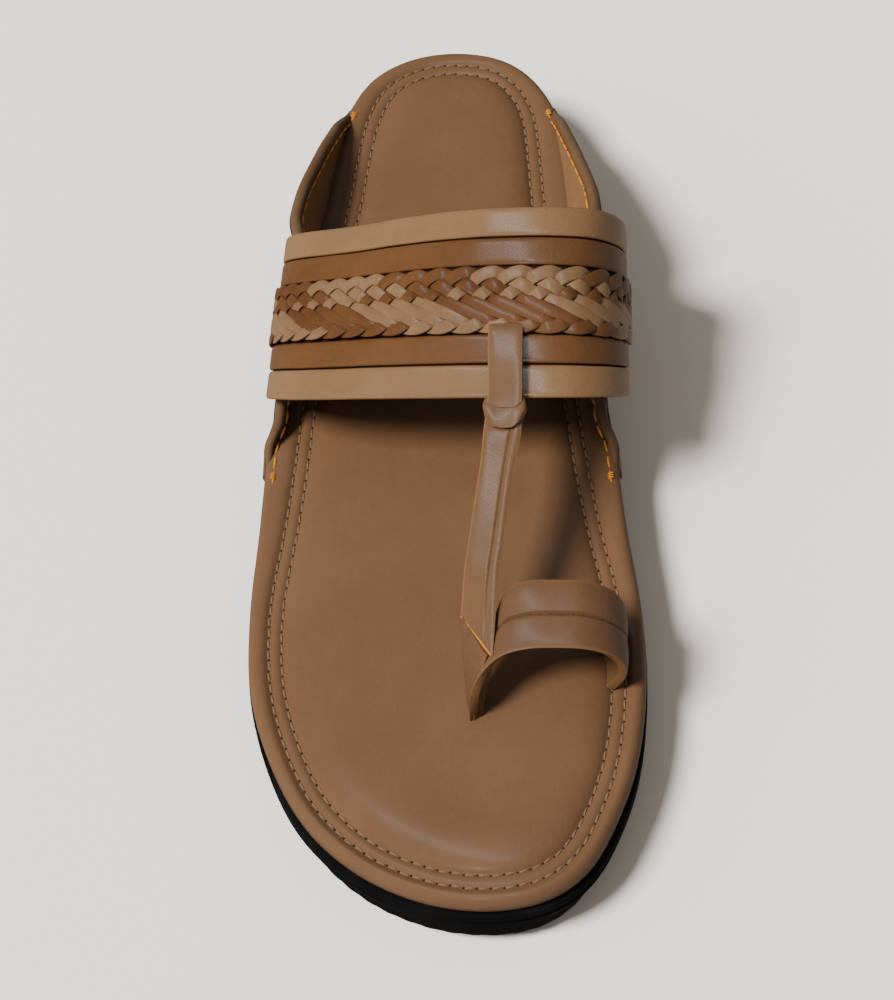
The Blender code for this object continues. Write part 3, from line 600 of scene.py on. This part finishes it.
for medial, side_name in ((False, "lateral"), (True, "medial")):
    slot = "side_flap_" + side_name

    def flap_face(up_share, along_share):
        up = 1 - up_share if medial else up_share
        return flap_point(medial, along_share, up, -0.0005 * math.sin(math.pi * up))

    flap = laid_sheet("leather_flap_" + side_name, 12, 120, flap_face)
    finished(flap, flap_leather, (slot,), FLAP_WALL, 0.0005)
    top = [flap_point(medial, k / 90, 1.0, 0.00125) for k in range(91)]
    drawn_cord("rolled_top_" + side_name, top, ROLL_RADIUS, flap_leather, 12)
    lip = [flap_point(medial, 0.04 + 0.92 * k / 90, 1.0, -0.0002) - UP * 0.0012
           for k in range(91)]
    drawn_cord("black_line_under_roll_" + side_name, lip, PAINT_RADIUS, black_edge, 8)

    def lining_face(up_share, along_share):
        up = 0.1 + 0.88 * (1 - up_share if medial else up_share)
        along = 0.03 + 0.94 * along_share
        fold = window(along, 0.02, 0.30, 0.10) if medial else 0.0
        pleat = 0.0005 * fold * math.sin(along * 150)
        return flap_point(medial, along, up, FLAP_WALL + 0.0002 + pleat)

    lining = laid_sheet("lining_" + side_name, 10, 120, lining_face)
    finished(lining, lining_leather, (), LINING_WALL, 0.00015)
    run = []
    for k in range(121):
        at = flap_point(medial, -0.015 + 0.985 * k / 120, 1.0, AMBER_INSET) - UP * 0.0009
        at.z = max(at.z, sole_top(at.y) + GAP + RIM_TOP)
        run.append(at)
    slope = (UP + Vector((-0.6 if medial else 0.6, 0, 0))).normalized()
    seam = [(at, ahead, slope) for at, ahead in evenly(run, AMBER_PITCH)]
    sewn("amber_seam_" + side_name, stitch_form(0.0040, 0.00065), seam, amber)
    tacks = []
    for at, ahead, _ in (seam[0], seam[-1]):
        across = slope.cross(ahead).normalized()
        tacks += [(at + ahead * TACK_PITCH * n + UP * 0.0004, across, slope)
                  for n in (-1, 0, 1)]
    sewn("amber_tacks_" + side_name, stitch_form(0.0019, 0.0005), tacks, amber)
    knots = [(seam[n][0] + slope * 0.0003, seam[n][1], slope) for n in (5, 12, 19)]
    sewn("seam_knots_" + side_name, stitch_form(0.0011, 0.0007), knots, thread)


# Instep band. Four turned strips of leather, light and dark, with a braid between them, laid
# edge to edge on a thin brown backing and closed over the foot from side to side.
# Places across as shares of the half width, and heights as shares of the edge's rise, from the
# outer side to the big toe side.
REAR_ARCH = [(-0.845, 0.145), (-0.880, 0.300), (-0.855, 0.457), (-0.735, 0.550),
             (-0.480, 0.665), (-0.210, 0.825), (0.045, 0.940), (0.270, 0.990), (0.535, 1.000),
             (0.735, 0.947), (0.855, 0.815), (0.915, 0.617), (0.916, 0.410), (0.850, 0.200)]
FRONT_ARCH = [(-0.942, 0.200), (-0.947, 0.405), (-0.906, 0.625), (-0.782, 0.790),
              (-0.573, 0.880), (-0.286, 0.930), (0.000, 0.965), (0.267, 0.985), (0.496, 1.000),
              (0.687, 0.955), (0.830, 0.830), (0.912, 0.640), (0.931, 0.420), (0.887, 0.200)]
REAR_RISE = 0.0530
REAR_LEAN = 0.50
FRONT_RISE = 0.0388
BAND_DEPTH = 0.0507
BAND_BULGE = 0.0012


def arch(rows, rise, foot_share, lean):
    """Points at equal steps along one edge of the band, foot to foot."""
    foot_y = foot_share * HALF_LENGTH
    foot_z = sole_top(foot_y) + GAP
    turn = turn_at(foot_share)
    feet = [sole_edge(side, GAP).x for side in (turn, 2 - turn)]
    knots = [(feet[0], foot_z)]
    knots += [(HALF_WIDTH * across, foot_z + rise * height) for across, height in rows]
    knots += [(feet[1], foot_z)]
    fine = [along_rows(knots, k / 600) for k in range(601)]
    points = [Vector((x, foot_y - lean * (z - foot_z), z)) for x, z in fine]
    return [at for at, _ in evenly(points, 0.0006)]


REAR_EDGE = arch(REAR_ARCH, REAR_RISE, BAND_REAR_FOOT, REAR_LEAN)
FRONT_EDGE = arch(FRONT_ARCH, FRONT_RISE, BAND_FRONT_FOOT, FRONT_LEAN)


def on_edge(points, share):
    step = min(max(share, 0.0), 1.0) * (len(points) - 1)
    n = min(int(step), len(points) - 2)
    return points[n].lerp(points[n + 1], step - n)


def band_point(u, v):
    """Outer face of the band: u lateral to medial, v rear to front, both 0 to 1."""
    point = on_edge(REAR_EDGE, u).lerp(on_edge(FRONT_EDGE, u), v)
    point.z += BAND_BULGE * 4 * v * (1 - v) * math.sin(math.pi * u) ** 2
    side = 0 if u < 0.5 else 1
    foot = REAR_EDGE[-side].lerp(FRONT_EDGE[-side], v)
    turn = turn_at(foot.y / HALF_LENGTH)
    seat = sole_edge(2 - turn if side else turn, GAP)
    seat.y = foot.y
    seat.z = sole_top(foot.y) + GAP
    return point + (seat - foot) * (1 - eased(abs(u - side), 0.0, 0.12))


def band_frame(u, v):
    """Point, way across, way to the front and outward normal of the band."""
    across = band_point(min(1.0, u + 0.008), v) - band_point(max(0.0, u - 0.008), v)
    front = band_point(u, min(1.0, v + 0.02)) - band_point(u, max(0.0, v - 0.02))
    across.normalize()
    normal = front.cross(across).normalized()
    return band_point(u, v), across, across.cross(normal).normalized(), normal


STRIP_WALL = 0.0013
light_strip = leather("light_strip_leather", (0.166, 0.098, 0.049), (0.142, 0.082, 0.040), 0.40,
                      0.5, (0.10, 0.048, 0.018))
dark_strip = leather("dark_strip_leather", (0.098, 0.045, 0.0165), (0.078, 0.034, 0.0115), 0.38,
                     0.5, (0.030, 0.010, 0.003))
backing_leather = leather("band_backing", (0.028, 0.012, 0.005), (0.020, 0.008, 0.0035), 0.6, 0.0)


def strip_place(start, end):
    def place(across, along):
        v = (start + (end - start) * across) / BAND_DEPTH
        point, _, _, normal = band_frame(along, v)
        crown = 1 - (2 * across - 1) ** 8
        wave = 0.00008 * math.sin(along * 23 + start * 900) * math.sin(along * 57)
        return point + normal * (0.00045 * crown - 0.00045 + wave)
    return place


for name, start, end, finish in (
        ("rear_light_strip", 0.0000, 0.0084, light_strip),
        ("rear_dark_strip", 0.0086, 0.0164, dark_strip),
        ("front_dark_strip", 0.0344, 0.0420, dark_strip),
        ("front_light_strip", 0.0422, 0.0507, light_strip)):
    strip = laid_sheet(name, 14, 180, strip_place(start, end))
    nodes = ("instep_band",) if name == "rear_light_strip" else ()
    finished(strip, finish, nodes, STRIP_WALL, 0.00045)


def backing_place(across, along):
    point, _, _, normal = band_frame(along, 0.015 + 0.97 * across)
    return point - normal * 0.00125


backing = laid_sheet("band_backing", 12, 120, backing_place)
finished(backing, backing_leather, (), 0.0007, 0.0002)

# Braid. Eight flat strands, four light and four dark, pass from edge to edge of the braid: over
# one, under one, over three on the way to the front, and fold over at each edge.
# The strands' near-black edge tone is painted shade in the crevices where they meet.
light_strand = leather("light_strand_leather", (0.168, 0.104, 0.058), (0.120, 0.068, 0.034), 0.40,
                       0.4, (0.030, 0.012, 0.004), 2.0, 0.33)
dark_strand = leather("dark_strand_leather", (0.098, 0.043, 0.0155), (0.062, 0.025, 0.0085), 0.40,
                      0.4, (0.010, 0.003, 0.001), 2.0, 0.33)
BRAID_START = 0.0165 / BAND_DEPTH
BRAID_END = 0.0343 / BAND_DEPTH
STRAND_THICKNESS = 0.00046
STRAND_LIFT = 0.00055
# How high a strand lies at each half step from its rear fold to its front fold.
CROSSINGS = [0.9, -1.0, 1.0, -1.0, 0.75, 1.0, 0.75, -1.0, 0.9]
FOLD_ROUND = 0.44
LIGHT_STRANDS = (2, 3, 4, 5)
FIRST_FOLD = -8.0
LAST_FOLD = 19.8


def fold_place(fold):
    """Place along the band of a rear fold; they lie wider apart towards the big toe."""
    return 0.192 + 0.0272 * fold + 0.00065 * fold * fold


def strand_state(phase):
    """Fold number, share of the way to the front, and height over or under, by phase.

    A strand takes eight phases from one rear fold to its next, four there and four back.
    """
    step = phase % 8.0
    out = step if step < 4.0 else 8.0 - step
    row = min(int(out * 2), 7)
    part = eased(out * 2 - row, 0.0, 1.0)
    heights = [CROSSINGS[n] if step < 4.0 or n in (0, 8) else -CROSSINGS[n] for n in (row, row + 1)]
    height = heights[0] + (heights[1] - heights[0]) * part
    turn_rear = math.hypot(out, FOLD_ROUND)
    turn_front = 4.0 - math.hypot(4.0 - out, FOLD_ROUND)
    share = (turn_rear if out < 2.0 else turn_front) / 4.0
    slip = 1.7 * ((out / 4.0) ** 2 - 4.0 * max(0.0, out / 4.0 - 0.75) ** 2)
    return phase + slip, share + 0.055 * math.sin(math.pi * share), height


def phase_at(fold):
    """The phase at which a strand passes the place of a rear fold, closed in by halves."""
    low, high = fold - 6.0, fold + 1.0
    for _ in range(30):
        middle = (low + high) / 2
        if strand_state(middle)[0] < fold:
            low = middle
        else:
            high = middle
    return middle


for strand in range(8):
    first = phase_at(FIRST_FOLD - strand)
    last = phase_at(LAST_FOLD - strand)

    def strand_uv(phase):
        fold, share, height = strand_state(phase)
        v = BRAID_START + (BRAID_END - BRAID_START) * (1.05 * share - 0.03)
        return min(max(fold_place(fold + strand), 0.0), 1.0), v, height

    def strand_place(round_share, along):
        phase = first + (last - first) * along
        u, v, height = strand_uv(phase)
        point, _, _, normal = band_frame(u, v)
        ahead = (band_point(*strand_uv(phase + 0.11)[:2])
                 - band_point(*strand_uv(phase - 0.11)[:2]))
        ahead = (ahead - normal * ahead.dot(normal)).normalized()
        side = ahead.cross(normal)
        angle = 2 * math.pi * round_share
        size = 0.0 if along in (0.0, 1.0) else 1.0
        flat = math.copysign(abs(math.cos(angle)) ** 0.45, math.cos(angle)) * size
        thick = math.copysign(abs(math.sin(angle)) ** 0.8, math.sin(angle)) * size
        return (point + side * flat * (0.00150 + 0.0005 * u)
                + normal * (thick * STRAND_THICKNESS + height * STRAND_LIFT + 0.0001))

    braid = laid_sheet(f"braid_strand_{strand + 1}", 12, 380, strand_place, closed=True)
    finished(braid, light_strand if strand in LIGHT_STRANDS else dark_strand, (), angle=60)


# Toe strap. A folded strip sewn under the band's two front strips, drawn up through a slit,
# back over them and down to the toe post.
STRAP_WIDTH = 0.0088
STRAP_WALL = 0.0018
LOOP_SPAN = 0.0398
LOOP_HEIGHT = 0.0220
LOOP_WIDTH = 0.0177
LOOP_WALL = 0.0022
LOOP_PITCH = 0.0027
SOCKET = 0.0022
STRAP_PLACE = 0.303
STRAP_RUN = 0.0098
STRAP_BOW = 0.0016


def find_u(across_share, v):
    """Place along the band that lies at a share of the half width, closed in by halves."""
    low, high = 0.15, 0.85
    for _ in range(30):
        middle = (low + high) / 2
        if band_point(middle, v).x < across_share * HALF_WIDTH:
            low = middle
        else:
            high = middle
    return (low + high) / 2


def strap_frame(v):
    return band_frame(find_u(STRAP_PLACE, v), v)


post_y = -0.618 * HALF_LENGTH
POST = Vector((0.130 * HALF_WIDTH, post_y, sole_top(post_y) + GAP + BOARD + 0.0015))
SLIT_V = 1 - 0.0164 / BAND_DEPTH
# Rear and front edge of the post: across, along and up, as shares of the loop's own sizes.
POST_ROWS = [(-0.062, 1.08, 0.83, 0.103, 0.39, 0.855), (-0.058, 0.76, 0.57, 0.048, 0.18, 0.57),
             (-0.047, 0.42, 0.28, 0.016, 0.02, 0.26)]
point, across, front, normal = strap_frame(1.0)
STRAP_START = point + normal * (GAP + STRAP_WALL)
aim = (POST + Vector((0.0, LOOP_WIDTH, LOOP_HEIGHT)) - STRAP_START).normalized()
STRAP_AHEAD = (aim + front).normalized()
STRAP_ACROSS = (across - STRAP_AHEAD * across.dot(STRAP_AHEAD)).normalized()
STRAP_NORMAL = STRAP_AHEAD.cross(STRAP_ACROSS).normalized()


def post_edges():
    """Pairs of edge points of the toe post's outer sheet, from the strap down into the footbed."""
    edges = []
    for rear_x, rear_y, rear_z, front_x, front_y, front_z in POST_ROWS:
        rear = Vector((rear_x * LOOP_SPAN, rear_y * LOOP_WIDTH, rear_z * LOOP_HEIGHT))
        ahead = Vector((front_x * LOOP_SPAN, front_y * LOOP_WIDTH, front_z * LOOP_HEIGHT))
        edges.append((POST + ahead, POST + rear))
    edges.append((POST + Vector((0.018 * LOOP_SPAN, -0.13 * LOOP_WIDTH, -SOCKET)),
                  POST + Vector((-0.025 * LOOP_SPAN, 0.14 * LOOP_WIDTH, -SOCKET))))
    return edges


def strap_edges():
    """Pairs of edge points of the strap's upper face, from the post to its hidden end."""
    top_front, top_rear = post_edges()[0]
    lower = STRAP_START + STRAP_AHEAD * STRAP_RUN
    half = STRAP_WIDTH / 2
    joint = (top_rear + top_front) / 2
    edges = [(top_rear, top_front + Vector((half * 0.35, 0.0, 0.0)))]
    for k in range(1, 7):
        share = (k / 6) * 0.86 + 0.14
        centre = joint.lerp(lower, share)
        centre.z += STRAP_BOW * math.sin(math.pi * share)
        wide = STRAP_ACROSS * half * (1.10 if k == 6 else 1.0)
        edges.append((centre - wide, centre + wide))
    centre = STRAP_START + STRAP_AHEAD * STRAP_RUN * 0.5
    edges.append((centre - STRAP_ACROSS * half * 1.06, centre + STRAP_ACROSS * half * 1.06))
    for k in range(4):
        point, side, _, outward = strap_frame(1 - (1 - SLIT_V) * k / 3)
        centre = point + outward * (GAP + STRAP_WALL)
        edges.append((centre - side * half, centre + side * half))
    point, side, ahead, outward = strap_frame(SLIT_V)
    middle = point - outward * 0.0010
    reach = 0.0022 + STRAP_WALL / 2
    for k in range(1, 7):
        angle = math.pi * k / 6
        centre = middle + outward * reach * math.cos(angle) - ahead * reach * math.sin(angle)
        edges.append((centre - side * half, centre + side * half))
    for k in (1, 2):
        point, side, _, outward = strap_frame(SLIT_V + (1 - SLIT_V) * 0.47 * k)
        centre = point - outward * (0.0020 + GAP + STRAP_WALL)
        edges.append((centre - side * half, centre + side * half))
    return edges


def sheet_place(edges, relief):
    """The surface between pairs of edge points, with relief across it."""
    rows = [(*left, *right) for left, right in edges]

    def at(share):
        values = along_rows(rows, share)
        return Vector(values[:3]), Vector(values[3:])

    def place(across, along):
        left, right = at(along)
        before, after = at(along - 0.01), at(along + 0.01)
        ahead = (after[0] + after[1]) - (before[0] + before[1])
        normal = ahead.cross(left - right).normalized()
        return left.lerp(right, across) + normal * relief(across, along)
    return place


def fold_relief(across, share):
    """Eased edges, and the step where the strip's folded side ends."""
    ridge = 0.00012 * window(across, 0.74, 1.0, 0.08)
    groove = -0.0003 * math.exp(-((across - 0.72) / 0.035) ** 2)
    return -0.0003 * abs(2 * across - 1) ** 6 + (ridge + groove) * share


def strap_relief(across, along):
    """The strap with the rounded end of its upper layer, which lies over the keeper."""
    tip = 0.382 + 0.018 * abs(2 * across - 1) ** 4
    tongue = 0.0011 * eased(along, tip, tip + 0.006) * (1 - eased(along, 0.50, 0.62))
    return fold_relief(across, 1 - eased(along, 0.33, 0.37)) + tongue


def post_relief(across, along):
    return fold_relief(across, 1 - eased(along, 0.38, 0.46))


strap_leather = leather("strap_leather", (0.112, 0.061, 0.031), (0.092, 0.049, 0.024), 0.38, 0.45,
                        (0.16, 0.085, 0.036))
strap = laid_sheet("folded_toe_strap", 28, 420, sheet_place(strap_edges(), strap_relief))
finished(strap, strap_leather, ("toe_strap",), STRAP_WALL, 0.0004)

# Toe post and big toe loop. The loop is a doubled strip sewn down its middle; it and the post's
# outer sheet close to a narrow foot that goes through the footbed.
# Centre across, along and up, then width, tilt and twist, as shares of the loop's own sizes.
LOOP_ROWS = [(0.006, 0.02, -0.10, 0.24, 0.00, 0.06), (0.016, 0.14, 0.16, 0.38, 0.00, 0.13),
             (0.053, 0.36, 0.48, 0.62, 0.00, 0.24), (0.113, 0.65, 0.75, 0.85, 0.08, 0.18),
             (0.211, 0.87, 0.93, 0.98, 0.15, 0.07), (0.354, 0.955, 0.995, 1.00, 0.18, 0.0),
             (0.530, 0.97, 1.00, 1.00, 0.18, 0.0), (0.719, 0.97, 0.97, 1.00, 0.18, 0.0),
             (0.869, 0.97, 0.83, 1.00, 0.15, 0.0), (0.965, 0.97, 0.59, 1.00, 0.08, 0.0),
             (0.992, 0.97, 0.32, 1.00, 0.03, 0.0), (0.962, 0.97, 0.09, 1.00, 0.00, 0.0),
             (0.907, 0.97, -0.10, 1.00, 0.0, 0.0)]
loop_edges = []
for row_across, row_along, height, breadth, tilt, twist in LOOP_ROWS:
    centre = POST + Vector((row_across * LOOP_SPAN, row_along * LOOP_WIDTH, height * LOOP_HEIGHT))
    half = Vector((twist, breadth, tilt)) * LOOP_WIDTH / 2
    loop_edges.append((centre + half, centre - half))


def loop_relief(across, along):
    edge = abs(2 * across - 1)
    seam = -0.0008 * math.exp(-((across - 0.5) / 0.022) ** 2)
    puff = 0.0003 * math.sin(math.pi * ((across * 2) % 1.0))
    return 0.0003 * (1 - edge ** 8) - 0.0003 + seam + puff


loop_leather = leather("loop_leather", (0.100, 0.054, 0.028), (0.082, 0.043, 0.022), 0.40, 0.25,
                       (0.12, 0.062, 0.028))
loop_place = sheet_place(loop_edges, loop_relief)
loop = laid_sheet("big_toe_loop", 48, 160, loop_place)
finished(loop, loop_leather, (), LOOP_WALL, 0.0005)
post = laid_sheet("toe_post_sheet", 24, 60, sheet_place(post_edges(), post_relief))
finished(post, loop_leather, (), STRAP_WALL, 0.0004)
fold_rear, fold_front = strap_edges()[0]
fold = [fold_rear.lerp(fold_front, k / 24) for k in range(25)]
drawn_cord("fold_thread", [at - UP * 0.0004 for at in fold], 0.00032, amber, 8)
run = [loop_place(0.5, 0.28 + 0.56 * k / 80) for k in range(81)]
seam = []
for n, (at, ahead) in enumerate(evenly(run, LOOP_PITCH)):
    sway = Vector((0.0, 0.00015 * math.sin(n * 2.4), 0.0))
    seam.append((at + sway, ahead, UP))
sewn("loop_stitches", stitch_form(0.0013, 0.0004), seam, hole_shade_and_dark_thread)

# Keeper. A short strip wound round the strap, close in front of the band, and drawn tight: its
# sides rise behind, its front edge bows forward, and a crease runs down its middle.
KEEPER_START = 0.0016
KEEPER_END = 0.0086
KEEPER_WALL = 0.0006
KEEPER_CREASE = 0.00035
keeper_leather = leather("keeper_leather", (0.114, 0.062, 0.031), (0.088, 0.046, 0.022), 0.38,
                         0.5, (0.16, 0.085, 0.036))


def wound_place(round_share, along):
    angle = 2 * math.pi * round_share
    x = math.copysign(abs(math.cos(angle)) ** 0.35, math.cos(angle))
    z = math.copysign(abs(math.sin(angle)) ** 0.5, math.sin(angle))
    swell = 0.0002 + 0.0008 * along + 0.0004 * math.sin(math.pi * along)
    wide = (STRAP_WIDTH / 2 + GAP + swell) * (1 - 0.13 * eased(along, 0.4, 1.0))
    tall = STRAP_WALL / 2 + GAP + swell
    crease = KEEPER_CREASE * math.exp(-(x / 0.25) ** 2) * math.sin(math.pi * along)
    ahead = KEEPER_START + (KEEPER_END - KEEPER_START) * along
    ahead -= (0.0018 + 0.0014 * along) * abs(x) ** 3
    return (STRAP_START - STRAP_NORMAL * STRAP_WALL / 2 + STRAP_AHEAD * ahead
            + STRAP_ACROSS * x * wide + STRAP_NORMAL * z * (tall - crease))


keeper = laid_sheet("wound_keeper", 64, 20, wound_place, closed=True)
finished(keeper, keeper_leather, ("strap_keeper",), KEEPER_WALL, 0.0002)
